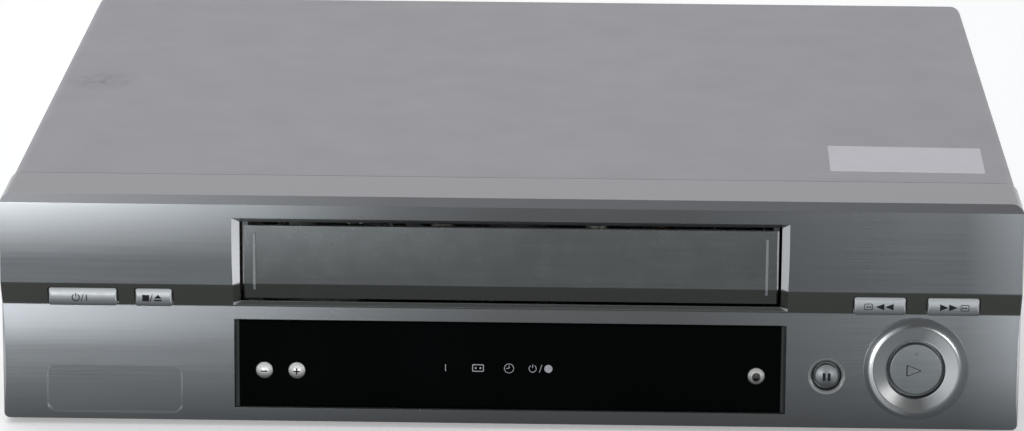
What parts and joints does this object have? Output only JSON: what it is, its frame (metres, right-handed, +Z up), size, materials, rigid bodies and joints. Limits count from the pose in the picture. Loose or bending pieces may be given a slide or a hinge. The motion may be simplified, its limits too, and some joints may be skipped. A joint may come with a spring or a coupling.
{
  "type": "video cassette recorder",
  "caption": "Full-size front-loading video cassette recorder in grey: flap door, display window, bar and round buttons, removable sheet cover and a complete tape deck inside.",
  "frame": {"origin": "middle of the footprint, on the table", "axes": "+X to the right seen from the front, +Y to the rear, +Z up"},
  "size_m": [0.4, 0.343, 0.094],
  "materials": {
    "base_tray": "zinc-plated sheet",
    "feet": "matt",
    "top_cover": "fine grey wrinkle paint",
    "cover_screws": "satin",
    "front_panel": "grey moulding with satin paint",
    "rear_panel": "fine texture",
    "display_window": "polished",
    "cassette_door": "satin paint",
    "door_spring": "bright wire",
    "power_button": "satin silver paint",
    "stop_eject_button": "satin silver paint",
    "rewind_button": "satin silver paint",
    "fast_forward_button": "satin silver paint",
    "play_button": "satin silver paint",
    "pause_button": "satin silver paint",
    "channel_down_button": "satin silver paint",
    "channel_up_button": "satin silver paint",
    "tuning_button": "satin silver paint",
    "key_board": "lacquered laminate",
    "key_switches": "satin",
    "indicator_lamps": "clear",
    "remote_receiver": "dark",
    "main_board": "lacquered laminate",
    "signal_chips": "satin",
    "board_capacitors": "sleeved",
    "tuner_can": "tinned",
    "aerial_sockets": "nickel",
    "scart_sockets": "satin",
    "audio_sockets": "satin",
    "power_board": "brown laminate",
    "mains_inlet": "satin",
    "power_transformer": "core with taped winding",
    "heat_sink": "plain",
    "mains_capacitor": "sleeved",
    "deck_plate": "zinc-plated",
    "lower_drum": "machined",
    "upper_drum": "machined",
    "drum_rotor": "satin",
    "capstan": "ground",
    "capstan_bearing": "sintered",
    "drive_belt": "matt",
    "clutch_pulley": "moulded",
    "idler_arm": "zinc-plated",
    "idler_wheel": "matt",
    "supply_reel": "moulded",
    "takeup_reel": "moulded",
    "pinch_arm": "zinc-plated",
    "pinch_roller": "matt",
    "supply_guide": "bright",
    "takeup_guide": "bright",
    "tension_arm": "zinc-plated",
    "erase_head": "satin",
    "audio_head": "satin",
    "loading_motor": "bright",
    "loading_worm": "moulded",
    "cam_gear": "moulded",
    "cassette_cage": "zinc-plated",
    "carriage_slides": "moulded",
    "cassette_holder": "zinc-plated",
    "inner_screws": "passivated"
  },
  "bodies": {
    "housing": {"base_tray": "base_tray", "feet": "feet", "top_cover": "top_cover", "cover_screws": "cover_screws", "front_panel": "front_panel", "rear_panel": "rear_panel", "display_window": "display_window", "door_spring": "door_spring", "key_board": "key_board", "key_switches": "key_switches", "indicator_lamps": "indicator_lamps", "remote_receiver": "remote_receiver", "main_board": "main_board", "signal_chips": "signal_chips", "board_capacitors": "board_capacitors", "tuner_can": "tuner_can", "aerial_sockets": "aerial_sockets", "scart_sockets": "scart_sockets", "audio_sockets": "audio_sockets", "power_board": "power_board", "mains_inlet": "mains_inlet", "power_transformer": "power_transformer", "heat_sink": "heat_sink", "mains_capacitor": "mains_capacitor", "deck_plate": "deck_plate", "lower_drum": "lower_drum", "capstan_bearing": "capstan_bearing", "drive_belt": "drive_belt", "erase_head": "erase_head", "audio_head": "audio_head", "loading_motor": "loading_motor", "cassette_cage": "cassette_cage", "inner_screws": "inner_screws"},
    "door": {"cassette_door": "cassette_door"},
    "power_key": {"power_button": "power_button"},
    "stop_key": {"stop_eject_button": "stop_eject_button"},
    "rewind_key": {"rewind_button": "rewind_button"},
    "forward_key": {"fast_forward_button": "fast_forward_button"},
    "play_key": {"play_button": "play_button"},
    "pause_key": {"pause_button": "pause_button"},
    "channel_down_key": {"channel_down_button": "channel_down_button"},
    "channel_up_key": {"channel_up_button": "channel_up_button"},
    "tuning_key": {"tuning_button": "tuning_button"},
    "carriage": {"carriage_slides": "carriage_slides"},
    "holder": {"cassette_holder": "cassette_holder"},
    "head_drum": {"upper_drum": "upper_drum", "drum_rotor": "drum_rotor"},
    "capstan_shaft": {"capstan": "capstan"},
    "clutch": {"clutch_pulley": "clutch_pulley"},
    "idler_lever": {"idler_arm": "idler_arm"},
    "idler": {"idler_wheel": "idler_wheel"},
    "supply_table": {"supply_reel": "supply_reel"},
    "takeup_table": {"takeup_reel": "takeup_reel"},
    "cam": {"cam_gear": "cam_gear"},
    "worm": {"loading_worm": "loading_worm"},
    "supply_guide_base": {"supply_guide": "supply_guide"},
    "takeup_guide_base": {"takeup_guide": "takeup_guide"},
    "pinch_lever": {"pinch_arm": "pinch_arm"},
    "pinch_wheel": {"pinch_roller": "pinch_roller"},
    "tension_lever": {"tension_arm": "tension_arm"}
  },
  "joints": [
    {"name": "door_swing", "type": "hinge", "parent": "housing", "child": "door", "pos_m": [0, -0.1649, 0.0855], "axis": [1, 0, 0], "range_deg": [0, 85], "stiffness_Nm_per_rad": 0.01, "springref_deg": -28.65},
    {"name": "power_press", "type": "slide", "parent": "housing", "child": "power_key", "axis": [0, 1, 0], "range_m": [0, 0.001], "stiffness_N_per_m": 400, "springref_m": -0.001},
    {"name": "stop_press", "type": "slide", "parent": "housing", "child": "stop_key", "axis": [0, 1, 0], "range_m": [0, 0.001], "stiffness_N_per_m": 400, "springref_m": -0.001},
    {"name": "rewind_press", "type": "slide", "parent": "housing", "child": "rewind_key", "axis": [0, 1, 0], "range_m": [0, 0.001], "stiffness_N_per_m": 400, "springref_m": -0.001},
    {"name": "forward_press", "type": "slide", "parent": "housing", "child": "forward_key", "axis": [0, 1, 0], "range_m": [0, 0.001], "stiffness_N_per_m": 400, "springref_m": -0.001},
    {"name": "play_press", "type": "slide", "parent": "housing", "child": "play_key", "axis": [0, 0.9979, -0.0647], "range_m": [0, 0.001], "stiffness_N_per_m": 400, "springref_m": -0.001},
    {"name": "pause_press", "type": "slide", "parent": "housing", "child": "pause_key", "axis": [0, 0.9979, -0.0647], "range_m": [0, 0.001], "stiffness_N_per_m": 400, "springref_m": -0.001},
    {"name": "channel_down_press", "type": "slide", "parent": "housing", "child": "channel_down_key", "axis": [0, 0.9979, -0.0647], "range_m": [0, 0.001], "stiffness_N_per_m": 400, "springref_m": -0.001},
    {"name": "channel_up_press", "type": "slide", "parent": "housing", "child": "channel_up_key", "axis": [0, 0.9979, -0.0647], "range_m": [0, 0.001], "stiffness_N_per_m": 400, "springref_m": -0.001},
    {"name": "tuning_press", "type": "slide", "parent": "housing", "child": "tuning_key", "axis": [0, 0.9979, -0.0647], "range_m": [0, 0.001], "stiffness_N_per_m": 400, "springref_m": -0.001},
    {"name": "carriage_travel", "type": "slide", "parent": "housing", "child": "carriage", "axis": [0, 1, 0], "range_m": [0, 0.084]},
    {"name": "holder_drop", "type": "slide", "parent": "carriage", "child": "holder", "axis": [0, 0, -1], "range_m": [0, 0.02]},
    {"name": "drum_spin", "type": "hinge", "parent": "housing", "child": "head_drum", "pos_m": [0, 0.0345, 0.046], "axis": [0.1045, 0, 0.9945], "continuous": true},
    {"name": "capstan_spin", "type": "hinge", "parent": "housing", "child": "capstan_shaft", "pos_m": [0.062, 0.0075, 0.02], "axis": [0, 0, 1], "continuous": true},
    {"name": "clutch_spin", "type": "hinge", "parent": "housing", "child": "clutch", "pos_m": [0, -0.0595, 0.02], "axis": [0, 0, 1], "continuous": true},
    {"name": "idler_swing", "type": "hinge", "parent": "housing", "child": "idler_lever", "pos_m": [0, -0.0595, 0.031], "axis": [0, 0, 1], "range_deg": [-80, 80]},
    {"name": "idler_spin", "type": "hinge", "parent": "idler_lever", "child": "idler", "pos_m": [0, -0.0765, 0.028], "axis": [0, 0, 1], "continuous": true},
    {"name": "supply_spin", "type": "hinge", "parent": "housing", "child": "supply_table", "pos_m": [-0.046, -0.066, 0.03], "axis": [0, 0, 1], "continuous": true},
    {"name": "takeup_spin", "type": "hinge", "parent": "housing", "child": "takeup_table", "pos_m": [0.046, -0.066, 0.03], "axis": [0, 0, 1], "continuous": true},
    {"name": "cam_turn", "type": "hinge", "parent": "housing", "child": "cam", "pos_m": [-0.08, 0.0645, 0.033], "axis": [0, 0, 1], "range_deg": [0, 270]},
    {"name": "worm_turn", "type": "hinge", "parent": "housing", "child": "worm", "pos_m": [-0.08, 0.0868, 0.033], "axis": [1, 0, 0], "continuous": true},
    {"name": "supply_guide_slide", "type": "slide", "parent": "housing", "child": "supply_guide_base", "axis": [-0.1738, 0.9848, 0], "range_m": [0, 0.06905]},
    {"name": "takeup_guide_slide", "type": "slide", "parent": "housing", "child": "takeup_guide_base", "axis": [0.1738, 0.9848, 0], "range_m": [0, 0.06905]},
    {"name": "pinch_swing", "type": "hinge", "parent": "housing", "child": "pinch_lever", "pos_m": [0.084, 0.0275, 0.028], "axis": [0, 0, 1], "range_deg": [-25, 0]},
    {"name": "pinch_spin", "type": "hinge", "parent": "pinch_lever", "child": "pinch_wheel", "pos_m": [0.0794, 0.0065, 0.04], "axis": [0, 0, 1], "continuous": true},
    {"name": "tension_swing", "type": "hinge", "parent": "housing", "child": "tension_lever", "pos_m": [-0.072, 0.0145, 0.028], "axis": [0, 0, 1], "range_deg": [0, 20]}
  ],
  "couplings": [
    {"joint": "clutch_spin", "follows": "capstan_spin", "ratio": 0.61538},
    {"joint": "idler_spin", "follows": "capstan_spin", "ratio": -0.53933},
    {"joint": "cam_turn", "follows": "supply_guide_slide", "rad_per_m": 68.2},
    {"joint": "worm_turn", "follows": "supply_guide_slide", "rad_per_m": 2728},
    {"joint": "takeup_guide_slide", "follows": "supply_guide_slide", "ratio": 1},
    {"joint": "pinch_swing", "follows": "supply_guide_slide", "rad_per_m": -6.315}
  ]
}
